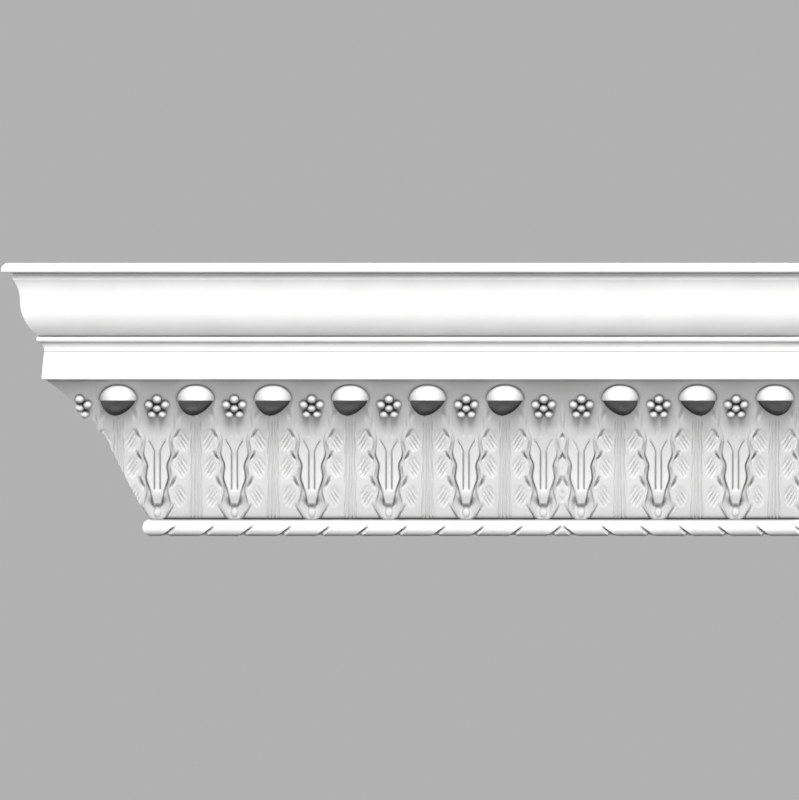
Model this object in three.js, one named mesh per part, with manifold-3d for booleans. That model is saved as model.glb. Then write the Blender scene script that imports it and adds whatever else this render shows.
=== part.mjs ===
// A length of classical cornice moulding, cast in one piece. Millimetres, +Z up. X runs along the
// moulding, the wall is the plane Y = 0 and the room is towards -Y. The origin lies on the wall face,
// at half its height, in the plane where the two halves of the ornament mirror each other.
import * as THREE from 'three';
import { mergeVertices } from 'three/addons/utils/BufferGeometryUtils.js';
import Module from 'manifold-3d';

const wasm = await Module();
wasm.setup();

// The length. The left end is mitred for an outside corner, the right end is cut square.
const HEEL_RUN = 223.1; // mirror plane to the mitre, measured on the wall face
const SQUARE_RUN = 131; // mirror plane to the square end

// Plain members from the ceiling down, each a height and a depth that it steps back.
const PROJECTION = 85; // nose of the top fillet from the wall
const FILLET_HEIGHT = 5.3;
const NOSE_BEVEL = 3.4; // how far the fillet's top arris is taken back
const NOSE_ROUND = 1.2; // how far its bottom arris is taken back
const QUIRK_HEIGHT = 3.5; // upright strip under the fillet
const QUIRK_DEPTH = 6.4;
const CAVETTO_HEIGHT = 12.2; // hollow upper half of the cyma
const CAVETTO_DEPTH = 4;
const OVOLO_HEIGHT = 19.2; // round lower half of the cyma
const OVOLO_DEPTH = 10.3;
const BEAD_RADIUS = 1.6;
const CONGE_HEIGHT = 4.8; // small hollow under the bead
const CONGE_DEPTH = 2.7;
const GROOVE_WIDTH = 0.7; // cut line between the small hollow and the fascia
const FASCIA_HEIGHT = 15.2;
const FASCIA_LEAN = 1.5; // the fascia's foot stands this far proud of its top
const ARRIS_ROUND = 1.2;
const SOFFIT_DEPTH = 2.4;

// The great cove that carries the ornament, and the rope bead at its foot.
const COVE_HEIGHT = 76.6;
const COVE_FOOT = 4.3; // distance of the cove's foot from the wall
const COVE_SAG = 8.1; // hollow of the cove behind its chord
const ROPE_RADIUS = 4.67;
const ROPE_STANDOUT = 3.3; // rope axis from the wall
const STRAND_CUT = 0.9; // depth of the slanting cuts in the rope
const STRAND_CUT_WIDTH = 2.4;
const STRAND_SLANT = 5; // how far a cut travels along the rope from its foot to its head
const MIRROR_TO_CUT = 3.6; // mirror plane to the middle of the first cut

// The plain back: a strip that lies on the wall, a strip that lies on the ceiling, a bevel between.
const WALL_STRIP = 45;
const CEILING_STRIP = 41;

// The ornament: hooded leaves with darts and berries between them.
const PITCH = 42.5; // leaf to leaf
const MIRROR_TO_DART = 10.4;
const BERRY_RADIUS = 2.65;
const BERRY_LIFT = 0.9; // berry centre in front of the cove
const HOOD_DEPTH = 12.6; // the curled tip's edge in front of the cove
const LEAF_SWELL = 2.3; // the leaf's belly in front of the cove
const FOOT_TUCK = 1.5; // how far the leaf's foot is drawn in
const RIM_RISE = 1; // rolled rim above the leaf blade
const RIM_FALL = 0.9; // valley beside the rim below the leaf blade
const FOLD_CUT = 1.3; // folds between the lobes
const RIB_RISE = 0.3;
const DART_SWELL = 3.6; // the dart's shoulders in front of the cove
const DART_GROUND = -0.6; // ground beside the dart's tip
const DART_GROOVE = 0.9;

// Heights on the cove, as shares of its height from foot to top.
const HOOD_TOP = 0.97;
const HOOD_EDGE = 0.853;
const HOOD_TIP = 0.741;
const FORK_TOP = 0.562;
const FORK_FOOT = 0.478;
const DART_HEAD = 0.66;
const DART_SHOULDER = 0.208;
const DART_TIP = 0.108;
const LEAF_FOOT = 0.2; // the leaf's foot is drawn in below this

// Places across the ornament, as shares of the half pitch from leaf axis to dart axis.
const HOOD_HALF = 0.5;
const HOOD_SKEW = 0.08; // the hood's lowest point leans away from the mirror plane
const FORK_STEM = 0.086; // grooves of the dart beside its axis
const FORK_SPREAD = 0.22;
const LOBE_EDGE = 0.06; // crest of the dart's lobes beside the leaf's outline
const SHOULDER_HALF = 0.155; // the dart's tip, at its shoulder and at its foot
const TIP_HALF = 0.08;
const TIP_FLANK = 0.05;
const BERRIES = [[0, 0.864], [-0.207, 0.824], [0.207, 0.824], [0, 0.802], [-0.13, 0.755], [0.13, 0.755]];

// Where the leaf's wavy outline and the folds inside it stand furthest out and in, from the foot up:
// height share, place across.
const OUTLINE_TURNS = [[0, 0.78], [0.103, 0.7], [0.203, 0.76], [0.303, 0.672], [0.382, 0.706],
  [0.468, 0.607], [0.562, 0.652], [0.641, 0.59], [0.76, 0.6], [0.86, 0.55]];
const FOLD_TURNS = [[0, 0.765], [0.11, 0.556], [0.222, 0.65], [0.311, 0.523], [0.423, 0.585],
  [0.49, 0.46], [0.578, 0.538], [0.65, 0.4], [0.725, 0.43], [0.795, 0.32]];

// Facets.
const ARC_STEPS = 6;
const COVE_STEPS = 10;
const SHEET_SHARES = [0, 0.055, 0.1, 0.125, 0.2, 0.225, 0.266, 0.32, 0.382, 0.457, 0.562, 0.614, 0.7,
  0.785, 0.88]; // the rows of the carved sheet, as height shares
const HOOD_SIDES = 14;
const ROPE_FACETS = [-90, -58, -32, -6, 20, 50, 90]; // degrees above the level through its axis
const STRAND_CLIMB = 1.4; // the cuts reach their full lean below the top facet
const BERRY_SIDES = 7;
const BERRY_BANDS = 4;
const CUT_MARGIN = 20; // tools reach this far past what they cut
const CORE_COVER = 3; // the plain core stays this far behind the cove
const SHEET_DEPTH = 5; // thickness of the carved sheet that is joined to the core
const FOOT_LIFT = 0.3; // the flat underside behind the rope stands this far above its lowest line
const SKIN = 1; // buried backs stay this far inside the wall face

const HALF_PITCH = PITCH / 2;
const ROPE_Z = ROPE_RADIUS;
const coveFootZ = 2 * ROPE_RADIUS;
const coveTopZ = coveFootZ + COVE_HEIGHT;
const fasciaTopZ = coveTopZ + FASCIA_HEIGHT;
const congeTopZ = fasciaTopZ + GROOVE_WIDTH + CONGE_HEIGHT;
const beadTopZ = congeTopZ + 2 * BEAD_RADIUS;
const cymaMidZ = beadTopZ + OVOLO_HEIGHT;
const quirkFootZ = cymaMidZ + CAVETTO_HEIGHT;
const filletFootZ = quirkFootZ + QUIRK_HEIGHT;
const topZ = filletFootZ + FILLET_HEIGHT;

const quirkP = PROJECTION - QUIRK_DEPTH;
const cymaMidP = quirkP - CAVETTO_DEPTH;
const beadP = cymaMidP - OVOLO_DEPTH;
const fasciaTopP = beadP - CONGE_DEPTH;
const fasciaFootP = fasciaTopP + FASCIA_LEAN;
const coveTopP = fasciaFootP - SOFFIT_DEPTH;
const ceilingBackP = PROJECTION - NOSE_BEVEL - CEILING_STRIP;

const clamp = (value) => Math.min(1, Math.max(0, value));
const mix = (a, b, t) => a + (b - a) * t;
const ease = (t) => clamp(t) ** 2 * (3 - 2 * clamp(t));

// Points on the arc from one point to another; a positive sag bows it to the left of the way.
function arc(from, to, sag, steps = ARC_STEPS) {
  const chord = Math.hypot(to[0] - from[0], to[1] - from[1]);
  const along = [(to[0] - from[0]) / chord, (to[1] - from[1]) / chord];
  const radius = (chord * chord / 4 + sag * sag) / (2 * sag);
  const half = Math.asin(chord / 2 / radius);
  const points = [];
  for (let k = 0; k <= steps; k += 1) {
    const angle = mix(-half, half, k / steps);
    const run = chord / 2 + radius * Math.sin(angle);
    const bow = radius * Math.cos(angle) - (radius - sag);
    points.push([from[0] + along[0] * run - along[1] * bow, from[1] + along[1] * run + along[0] * bow]);
  }
  return points;
}

// Sag of an arc that leaves its far end upright after the given height and depth.
const quarterSag = (height, depth) => {
  const radius = (height * height + depth * depth) / (2 * depth);
  return radius - Math.sqrt(radius * radius - (height * height + depth * depth) / 4);
};

// Distance of the bare cove from the wall at a height.
const coveChord = Math.hypot(COVE_HEIGHT, coveTopP - COVE_FOOT);
const coveRadius = (coveChord * coveChord / 4 + COVE_SAG * COVE_SAG) / (2 * COVE_SAG);
const coveOut = (coveRadius - COVE_SAG) / coveChord;
const coveCentreP = (COVE_FOOT + coveTopP) / 2 + coveOut * COVE_HEIGHT;
const coveCentreZ = (coveFootZ + coveTopZ) / 2 - coveOut * (coveTopP - COVE_FOOT);
const coveP = (z) => coveCentreP - Math.sqrt(coveRadius ** 2 - (z - coveCentreZ) ** 2);

function sectionOutline() {
  const cavettoSag = quarterSag(CAVETTO_HEIGHT, CAVETTO_DEPTH);
  const ovoloSag = quarterSag(OVOLO_HEIGHT, OVOLO_DEPTH);
  const grooveZ = fasciaTopZ + GROOVE_WIDTH / 2;
  const arrisLean = FASCIA_LEAN * ARRIS_ROUND / FASCIA_HEIGHT;
  const core = [];
  for (let k = 0; k <= COVE_STEPS; k += 1) {
    const z = mix(coveFootZ, coveTopZ, k / COVE_STEPS);
    core.push([coveP(z) - CORE_COVER, z]);
  }
  return [
    [0, FOOT_LIFT],
    [ROPE_STANDOUT - FOOT_LIFT, FOOT_LIFT],
    [ROPE_STANDOUT - FOOT_LIFT, ROPE_Z],
    ...core,
    ...arc([fasciaFootP - ARRIS_ROUND, coveTopZ], [fasciaFootP - arrisLean, coveTopZ + ARRIS_ROUND],
      -ARRIS_ROUND * 0.29, 3),
    [fasciaTopP, fasciaTopZ],
    [fasciaTopP - GROOVE_WIDTH / 2, grooveZ],
    ...arc([fasciaTopP, fasciaTopZ + GROOVE_WIDTH], [beadP, congeTopZ],
      CONGE_DEPTH * 0.3, 4),
    ...arc([beadP, congeTopZ], [beadP, beadTopZ], -BEAD_RADIUS * 0.98, 6).slice(1),
    ...arc([beadP, beadTopZ], [cymaMidP, cymaMidZ], -ovoloSag).slice(1),
    ...arc([cymaMidP, cymaMidZ], [quirkP, quirkFootZ], cavettoSag).slice(1),
    [quirkP, filletFootZ],
    [PROJECTION - NOSE_ROUND, filletFootZ],
    [PROJECTION, filletFootZ + NOSE_ROUND],
    ...arc([PROJECTION, filletFootZ + NOSE_ROUND * 1.6], [PROJECTION - NOSE_BEVEL, topZ], -0.7, 4),
    [ceilingBackP, topZ],
    [0, WALL_STRIP],
  ];
}

function asManifold(geometry) {
  const bare = geometry.clone();
  bare.deleteAttribute('normal');
  bare.deleteAttribute('uv');
  const merged = mergeVertices(bare, 1e-5);
  return new wasm.Manifold(new wasm.Mesh({
    numProp: 3,
    vertProperties: new Float32Array(merged.attributes.position.array),
    triVerts: new Uint32Array(merged.index.array),
  }));
}

function asGeometry(solid) {
  const mesh = solid.getMesh();
  const geometry = new THREE.BufferGeometry();
  geometry.setAttribute('position', new THREE.BufferAttribute(mesh.vertProperties, 3));
  geometry.setIndex(new THREE.BufferAttribute(mesh.triVerts, 1));
  geometry.computeVertexNormals();
  return geometry;
}

// A closed solid from a front lattice and a back lattice; front(i, j) and back(i, j) give points,
// with i running along +X and j upwards.
function latticeSolid(columns, rows, front, back, leansLeft) {
  const positions = [];
  for (const face of [front, back]) {
    for (let i = 0; i < columns; i += 1) {
      for (let j = 0; j < rows; j += 1) positions.push(...face(i, j));
    }
  }
  const at = (i, j) => i * rows + j;
  const behind = (i, j) => columns * rows + at(i, j);
  const index = [];
  const quad = (a, b, c, d) => index.push(a, b, c, a, c, d);
  for (let i = 0; i + 1 < columns; i += 1) {
    for (let j = 0; j + 1 < rows; j += 1) {
      if (leansLeft(i)) quad(at(i + 1, j), at(i + 1, j + 1), at(i, j + 1), at(i, j));
      else quad(at(i, j), at(i + 1, j), at(i + 1, j + 1), at(i, j + 1));
      quad(behind(i, j), behind(i, j + 1), behind(i + 1, j + 1), behind(i + 1, j));
    }
    quad(at(i, 0), behind(i, 0), behind(i + 1, 0), at(i + 1, 0));
    quad(at(i, rows - 1), at(i + 1, rows - 1), behind(i + 1, rows - 1), behind(i, rows - 1));
  }
  for (let j = 0; j + 1 < rows; j += 1) {
    quad(at(0, j), at(0, j + 1), behind(0, j + 1), behind(0, j));
    quad(at(columns - 1, j), behind(columns - 1, j), behind(columns - 1, j + 1), at(columns - 1, j + 1));
  }
  const geometry = new THREE.BufferGeometry();
  geometry.setAttribute('position', new THREE.Float32BufferAttribute(positions, 3));
  geometry.setIndex(index);
  return asManifold(geometry);
}

// The stretch between two turning points that holds a height share, and how far up it the share lies.
function stretch(turns, share) {
  let n = 0;
  while (n < turns.length - 2 && share > turns[n + 1][0]) n += 1;
  const [from, to] = [turns[n], turns[n + 1]];
  return { from: from[1], to: to[1], part: clamp((share - from[0]) / (to[0] - from[0])) };
}

// A smooth line through its turning points.
function wavy(turns, share) {
  const { from, to, part } = stretch(turns, share);
  return mix(from, to, ease(part));
}

// A fold is cut where its line swings out on its way down, most deeply in the middle of that stretch.
function foldShare(share) {
  const { from, to, part } = stretch(FOLD_TURNS, share);
  return from > to ? Math.sin(Math.PI * part) : 0;
}

// The ridges and valleys of half a leaf at a share of the cove's height, from the leaf's axis to the
// dart's axis: places as shares of the half pitch, heights in front of the bare cove.
function ridges(share) {
  const outline = wavy(OUTLINE_TURNS, share);
  const fold = wavy(FOLD_TURNS, share);
  const shown = 1 - ease((share - HOOD_TIP) / (HOOD_EDGE - HOOD_TIP));
  const tuck = -FOOT_TUCK * (1 - ease(share / LEAF_FOOT));
  const blade = LEAF_SWELL * Math.sin(Math.PI * clamp(share / HOOD_TIP) ** 0.85) ** 0.8 + tuck;
  const leaf = [
    [0, (blade + RIB_RISE) * shown],
    [fold, (blade - FOLD_CUT * foldShare(share)) * shown],
    [mix(fold, outline, 0.55), (blade + RIM_RISE) * shown],
    [outline, (blade - RIM_FALL) * shown],
  ];

  const dart = DART_SWELL * clamp((DART_HEAD - share) / (DART_HEAD - DART_SHOULDER));
  if (share > DART_SHOULDER) {
    const spread = clamp((share - FORK_FOOT) / (FORK_TOP - FORK_FOOT));
    const fork = share > FORK_TOP ? FORK_STEM : mix(FORK_STEM, FORK_SPREAD, spread);
    const groove = share > FORK_TOP ? 0 : DART_GROOVE;
    return [...leaf, [outline + LOBE_EDGE, dart], [1 - fork, dart - groove], [1, dart]];
  }
  const ground = DART_GROUND + 0.6 * tuck;
  const taper = mix(TIP_HALF, SHOULDER_HALF, clamp((share - DART_TIP) / (DART_SHOULDER - DART_TIP)));
  const tip = share > DART_TIP ? dart : ground;
  return [...leaf, [1 - taper - TIP_FLANK, ground], [1 - taper, tip], [1, tip]];
}

// Height of the relief anywhere between the leaf's axis and the dart's axis.
function relief(across, share) {
  const lines = ridges(share);
  for (let k = 1; k < lines.length; k += 1) {
    if (across <= lines[k][0]) {
      const part = (across - lines[k - 1][0]) / (lines[k][0] - lines[k - 1][0]);
      return mix(lines[k - 1][1], lines[k][1], part);
    }
  }
  return lines[lines.length - 1][1];
}

const leafX = (k) => MIRROR_TO_DART + HALF_PITCH + PITCH * k;
const dartX = (k) => MIRROR_TO_DART + PITCH * k;
const leftLeaves = Math.ceil((HEEL_RUN + PROJECTION - MIRROR_TO_DART) / PITCH);
const rightLeaves = Math.ceil((SQUARE_RUN - MIRROR_TO_DART) / PITCH);

// Column functions from the mirror plane outwards: each maps a height share to a place and a relief.
function columnsOutwards(leaves) {
  const columns = [];
  const mirrorAcross = 1 - MIRROR_TO_DART / HALF_PITCH;
  columns.push((share) => [0, relief(mirrorAcross, share)]);
  columns.push((share) => {
    const across = (mirrorAcross + ridges(share)[3][0]) / 2;
    return [(across - mirrorAcross) * HALF_PITCH, relief(across, share)];
  });
  for (let n = 3; n <= 5; n += 1) {
    columns.push((share) => {
      const line = ridges(share)[n];
      return [(line[0] - mirrorAcross) * HALF_PITCH, line[1]];
    });
  }
  for (let k = 0; k < leaves; k += 1) {
    for (let n = -6; n <= 5; n += 1) {
      const side = Math.sign(n) || 1;
      columns.push((share) => {
        const line = ridges(share)[Math.abs(n)];
        return [leafX(k) + side * line[0] * HALF_PITCH, line[1]];
      });
    }
  }
  columns.push((share) => [dartX(leaves), ridges(share)[6][1]]);
  return columns;
}

function carvedSheet() {
  const left = columnsOutwards(leftLeaves).slice(1).reverse();
  const right = columnsOutwards(rightLeaves);
  const columns = [
    ...left.map((column) => (share) => [-column(share)[0], column(share)[1]]),
    ...right,
  ];
  const shares = [-1.3 / COVE_HEIGHT, ...SHEET_SHARES, 1 + 1.2 / COVE_HEIGHT];
  const heightOf = (j) => coveFootZ + shares[j] * COVE_HEIGHT;
  const front = (i, j) => {
    const [x, rise] = columns[i](shares[j]);
    return [x, -(coveP(heightOf(j)) + rise), heightOf(j)];
  };
  const back = (i, j) => {
    const depth = Math.max(SKIN, coveP(heightOf(j)) - SHEET_DEPTH);
    return [columns[i](shares[j])[0], -depth, heightOf(j)];
  };
  return latticeSolid(columns.length, shares.length, front, back, (i) => i % 2 === 0);
}

// A ring-by-ring loft closed by a pole at each end; each ring is an ellipse centred on the cove.
function hood(x, side) {
  const rings = [];
  const ring = (share, half, depth, shift) => rings.push({ share, half, depth, shift });
  for (const rise of [0.85, 0.6, 0.3, 0]) {
    const share = mix(HOOD_EDGE, HOOD_TOP, rise);
    ring(share, (1 - rise ** 2.2) ** (1 / 2.2), (1 - rise) ** 0.75, 0);
  }
  for (const [fall, depth] of [[0.22, 0.35], [0.8, 0.1]]) {
    ring(mix(HOOD_EDGE, HOOD_TIP, fall), (1 - fall ** 1.7) ** (1 / 1.7), depth, fall);
  }
  const positions = [];
  const place = (share, across, out) => {
    const z = coveFootZ + share * COVE_HEIGHT;
    positions.push(x + across, -(coveP(z) + out), z);
  };
  place(HOOD_TOP, 0, -0.5);
  for (const { share, half, depth, shift } of rings) {
    for (let k = 0; k < HOOD_SIDES; k += 1) {
      const angle = 2 * Math.PI * k / HOOD_SIDES;
      const across = half * HOOD_HALF * HALF_PITCH * Math.cos(angle) + side * shift * HOOD_SKEW * HALF_PITCH;
      const out = Math.sin(angle) > 0 ? depth * HOOD_DEPTH * Math.sin(angle) : 3 * Math.sin(angle);
      place(share, across, out);
    }
  }
  place(HOOD_TIP, side * HOOD_SKEW * HALF_PITCH, 0);
  const last = positions.length / 3 - 1;
  const index = [];
  for (let k = 0; k < HOOD_SIDES; k += 1) {
    const next = (k + 1) % HOOD_SIDES;
    index.push(0, 1 + next, 1 + k);
    for (let r = 0; r + 1 < rings.length; r += 1) {
      const a = 1 + r * HOOD_SIDES;
      const b = a + HOOD_SIDES;
      index.push(a + k, b + next, b + k, a + k, a + next, b + next);
    }
    const base = 1 + (rings.length - 1) * HOOD_SIDES;
    index.push(last, base + k, base + next);
  }
  const geometry = new THREE.BufferGeometry();
  geometry.setAttribute('position', new THREE.Float32BufferAttribute(positions, 3));
  geometry.setIndex(index);
  return asManifold(geometry);
}

function berry(x, share) {
  const z = coveFootZ + share * COVE_HEIGHT;
  const geometry = new THREE.SphereGeometry(BERRY_RADIUS, BERRY_SIDES, BERRY_BANDS);
  geometry.rotateX(Math.PI / 2 - Math.PI / 4);
  geometry.translate(x, -(coveP(z) + BERRY_LIFT), z);
  return asManifold(geometry);
}

// The rope bead: half of it shows, cut at each half pitch by slanting strand lines that lean towards
// the mirror plane as they rise and fade out above the rope's middle.
function ropeBead() {
  const angles = ROPE_FACETS.map(THREE.MathUtils.degToRad);
  const columns = [];
  for (const [side, run] of [[-1, HEEL_RUN + PROJECTION], [1, SQUARE_RUN]]) {
    const own = [];
    const strands = Math.ceil(run / HALF_PITCH);
    for (let k = 0; k < strands; k += 1) {
      const centre = side * (MIRROR_TO_CUT + HALF_PITCH * k);
      for (const edge of [-0.5, 0, 0.5]) own.push({ centre, side, edge, depth: edge === 0 ? STRAND_CUT : 0 });
    }
    own.push({ centre: side * (MIRROR_TO_CUT + HALF_PITCH * strands), side, edge: 0, depth: 0 });
    columns.push(...(side < 0 ? own.reverse() : own));
  }
  const cutFoot = angles[1];
  const cutHead = angles[angles.length - 2];
  const front = (i, j) => {
    const { centre, side, edge, depth } = columns[i];
    const climb = clamp((angles[j] - cutFoot) / (cutHead - cutFoot));
    const lean = STRAND_SLANT * (0.5 - clamp(climb * STRAND_CLIMB));
    const width = STRAND_CUT_WIDTH * mix(1, 0.35, climb);
    const radius = ROPE_RADIUS - depth * (1 - climb);
    const x = centre + side * (edge * width + lean);
    return [x, -(ROPE_STANDOUT + radius * Math.cos(angles[j])), ROPE_Z + radius * Math.sin(angles[j])];
  };
  const back = (i, j) => [front(i, j)[0], -SKIN, ROPE_Z + 0.8 * ROPE_RADIUS * Math.sin(angles[j])];
  return latticeSolid(columns.length, angles.length, front, back, () => false);
}

// The plain section run along X, longer than the moulding at both ends.
function plainSection() {
  const outline = sectionOutline().map(([p, z]) => new THREE.Vector2(p, z));
  const run = HEEL_RUN + PROJECTION + SQUARE_RUN + 2 * CUT_MARGIN;
  const geometry = new THREE.ExtrudeGeometry(new THREE.Shape(outline), { depth: run, bevelEnabled: false });
  const turn = new THREE.Matrix4().makeBasis(
    new THREE.Vector3(0, -1, 0),
    new THREE.Vector3(0, 0, 1),
    new THREE.Vector3(-1, 0, 0),
  );
  geometry.applyMatrix4(turn);
  geometry.translate(SQUARE_RUN + CUT_MARGIN, 0, 0);
  return asManifold(geometry);
}

// What is kept between the mitre plane and the square end, seen from above.
function keptLength() {
  const front = PROJECTION + CUT_MARGIN;
  const plan = new THREE.Shape([
    new THREE.Vector2(-HEEL_RUN + CUT_MARGIN, CUT_MARGIN),
    new THREE.Vector2(-HEEL_RUN - front, -front),
    new THREE.Vector2(SQUARE_RUN, -front),
    new THREE.Vector2(SQUARE_RUN, CUT_MARGIN),
  ]);
  const geometry = new THREE.ExtrudeGeometry(plan, { depth: topZ + 2 * CUT_MARGIN, bevelEnabled: false });
  geometry.translate(0, 0, -CUT_MARGIN);
  return asManifold(geometry);
}

// How far from the mirror plane the cove's face runs at a height before an end cuts it.
const reach = (side, share) => (side < 0 ? HEEL_RUN + coveP(coveFootZ + share * COVE_HEIGHT) : SQUARE_RUN);

function corniceLength() {
  let body = plainSection().add(carvedSheet()).add(ropeBead());
  const berryFoot = Math.sqrt(BERRY_RADIUS ** 2 - BERRY_LIFT ** 2);
  for (const [side, leaves] of [[-1, leftLeaves], [1, rightLeaves]]) {
    for (let k = 0; k < leaves; k += 1) {
      const flank = leafX(k) - HOOD_HALF * HALF_PITCH;
      if (flank < reach(side, HOOD_EDGE)) body = body.add(hood(side * leafX(k), side));
    }
    for (let k = 0; k <= leaves; k += 1) {
      for (const [across, share] of BERRIES) {
        const out = dartX(k) + across * HALF_PITCH;
        if (out - berryFoot < reach(side, share)) body = body.add(berry(side * out, share));
      }
    }
  }
  const geometry = asGeometry(body.intersect(keptLength()));
  geometry.translate(0, 0, -WALL_STRIP / 2);
  return geometry;
}

const primedWhite = new THREE.MeshStandardMaterial({ color: 0xf1f1ef, roughness: 0.7, metalness: 0 });
const cornice = new THREE.Mesh(corniceLength(), primedWhite);
cornice.name = 'cornice_moulding';

const moulding = new THREE.Group();
moulding.add(cornice);

export default moulding;
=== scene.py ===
import math

import bpy
import numpy as np
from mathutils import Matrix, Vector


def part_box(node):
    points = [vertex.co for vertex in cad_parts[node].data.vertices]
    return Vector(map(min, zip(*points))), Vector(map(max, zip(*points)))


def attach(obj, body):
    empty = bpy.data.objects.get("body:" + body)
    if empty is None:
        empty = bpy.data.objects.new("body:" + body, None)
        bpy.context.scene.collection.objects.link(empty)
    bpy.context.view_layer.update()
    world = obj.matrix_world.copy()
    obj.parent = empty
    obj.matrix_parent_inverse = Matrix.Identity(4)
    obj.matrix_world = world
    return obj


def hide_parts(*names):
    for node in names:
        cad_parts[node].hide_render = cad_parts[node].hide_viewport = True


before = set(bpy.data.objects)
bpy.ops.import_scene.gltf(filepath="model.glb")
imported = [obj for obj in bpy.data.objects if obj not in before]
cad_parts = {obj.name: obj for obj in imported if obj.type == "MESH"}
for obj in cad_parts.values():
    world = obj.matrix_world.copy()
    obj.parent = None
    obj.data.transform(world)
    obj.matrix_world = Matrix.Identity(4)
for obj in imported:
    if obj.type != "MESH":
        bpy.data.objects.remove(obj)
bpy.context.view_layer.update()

MM = 0.001
NODE = "cornice_moulding"
LOW, HIGH = (tuple(corner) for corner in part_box(NODE))

# Overall sizes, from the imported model.
PROJECTION = -LOW[1]
FOOT_Z = LOW[2]
TOP_Z = HIGH[2]
SQUARE_X = HIGH[0]
HEEL_RUN = -LOW[0] - PROJECTION

# Plain members from the foot up: heights, and depths that each steps back.
ROPE_RADIUS = 4.67 * MM
ROPE_STANDOUT = 3.3 * MM  # its axis from the wall
COVE_HEIGHT = 76.6 * MM
COVE_FOOT = 4.3 * MM  # the cove's foot from the wall
COVE_SAG = 8.1 * MM  # how far its arc bows from its chord
SOFFIT_DEPTH = 2.4 * MM
ARRIS_ROUND = 1.2 * MM
FASCIA_HEIGHT = 15.2 * MM
FASCIA_LEAN = 1.5 * MM
GROOVE_WIDTH = 0.7 * MM
CONGE_HEIGHT = 4.8 * MM
CONGE_DEPTH = 2.7 * MM
BEAD_RADIUS = 1.6 * MM
OVOLO_HEIGHT = 19.2 * MM
OVOLO_DEPTH = 10.3 * MM
CAVETTO_HEIGHT = 12.2 * MM
CAVETTO_DEPTH = 4 * MM
QUIRK_HEIGHT = 3.5 * MM
QUIRK_DEPTH = 6.4 * MM
NOSE_BEVEL = 3.4 * MM
NOSE_ROUND = 1.2 * MM
NOSE_SIDE = 1.6  # where the fillet's face turns back, times NOSE_ROUND above its foot
NOSE_SAG = 0.7 * MM  # how far that turn bows
WALL_STRIP = 45 * MM
CEILING_STRIP = 41 * MM
FOOT_LIFT = 0.3 * MM  # keeps the plain section inside the rope

# Sags of the small arcs as shares of their sizes, and the steps that each arc is drawn in.
CORNER_SAG = 0.29
CONGE_SAG = 0.3
BEAD_SAG = 0.98
CORNER_STEPS = 6
CONGE_STEPS = 8
BEAD_STEPS = 14
OVOLO_STEPS = 20
CAVETTO_STEPS = 16
NOSE_STEPS = 8
CORE_POINTS = 12

# Ornament.
PITCH = 42.5 * MM
HALF_PITCH = PITCH / 2
MIRROR_TO_DART = 10.4 * MM
MIRROR_ACROSS = 1 - MIRROR_TO_DART / HALF_PITCH
BERRY_RADIUS = 2.55 * MM
BERRY_LIFT = 0.9 * MM  # its centre out of the cove's face
BERRY_DEPTH = 1.6  # how far it stands out, times its half width
HOOD_DEPTH = 12.6 * MM
HOOD_ROOT = 8 * MM  # how deep it reaches behind the cove's face
HOOD_CROWN_SINK = 0.5 * MM
HOLLOW_DEPTH = 10 * MM  # how deep the pocket below it reaches
LEAF_SWELL = 3.6 * MM
FOOT_TUCK = 0.9 * MM  # how far the leaf's foot draws in
RIM_RISE = 1.0 * MM
RIM_FALL = 0.55 * MM
FOLD_CUT = 1.3 * MM
RIB_RISE = 0.3 * MM
DART_SWELL = 4.8 * MM
DART_GROUND = -0.3 * MM
STEM_SINK = 0.35 * MM
GROOVE_CUT = 0.75 * MM
VEIN_CUT = 0.42 * MM
HATCH_CUT = 1.0 * MM
HATCH_GAP = 1.9 * MM
HATCH_SLANT = math.radians(58)
BUD_RISE = 0.9 * MM
STRAND_CUT = 2.6 * MM
STRAND_CUT_WIDTH = 4.8 * MM
STRAND_SLANT = 5.2 * MM
STRAND_CUT_FADE = 1.6  # power by which a cut gets shallower as it climbs
STRAND_CUT_NARROW = 0.3  # its width at its head, as a share
STRAND_LEAN_RATE = 1.45
STRAND_CUT_FOOT = math.radians(-62)
STRAND_CUT_HEAD = math.radians(38)
MIRROR_TO_CUT = 3.4 * MM
ROPE_BACK = 0.8  # half height of the rope's hidden back, times its radius

# A cut across the rope: (place as a share of its width, depth as a share of the full cut).
STRAND_CUT_SECTION = [(-0.5, 0), (-0.25, 0.45), (-0.1, 0.85), (0.03, 1), (0.2, 0.55), (0.5, 0)]
STRAND_COLUMNS = [0.3, 0.5, 0.7]

# Heights on the cove as shares from its foot to its top.
HOOD_TOP = 0.965
HOOD_EDGE = 0.853
HOOD_EDGE_DROP = 0.002  # how far the underside's middle hangs below its edge
HOOD_TIP = 0.741
FORK_TOP = 0.562
FORK_FOOT = 0.478
DART_HEAD = 0.66
DART_SHOULDER = 0.208
DART_TIP = 0.108
BUD_CENTRE = 0.05
CARVED_TOP = 0.70

# Places across, as shares from the leaf's axis to the dart's axis.
HOOD_HALF = 0.5
HOLLOW_HALF = 0.45
HOOD_SKEW = 0.08
RIB_FOOT = 0.21
RIB_HEAD = 0.09
FORK_STEM = 0.074
FORK_SPREAD = 0.22
FOLD_HALF = 0.055
LOBE_EDGE = 0.07
TIP_HALF = 0.08
TIP_FLANK = 0.05
SHOULDER_HALF = 0.155
GROOVE_HALF = 0.03
GROOVE_FAINT = 0.6
BUD_HALF = 0.095
BUD_HALF_HEIGHT = 0.036
BERRIES = [(0, 0.864), (-0.207, 0.824), (0.207, 0.824), (0, 0.802), (-0.129, 0.755), (0.129, 0.755)]

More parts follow.
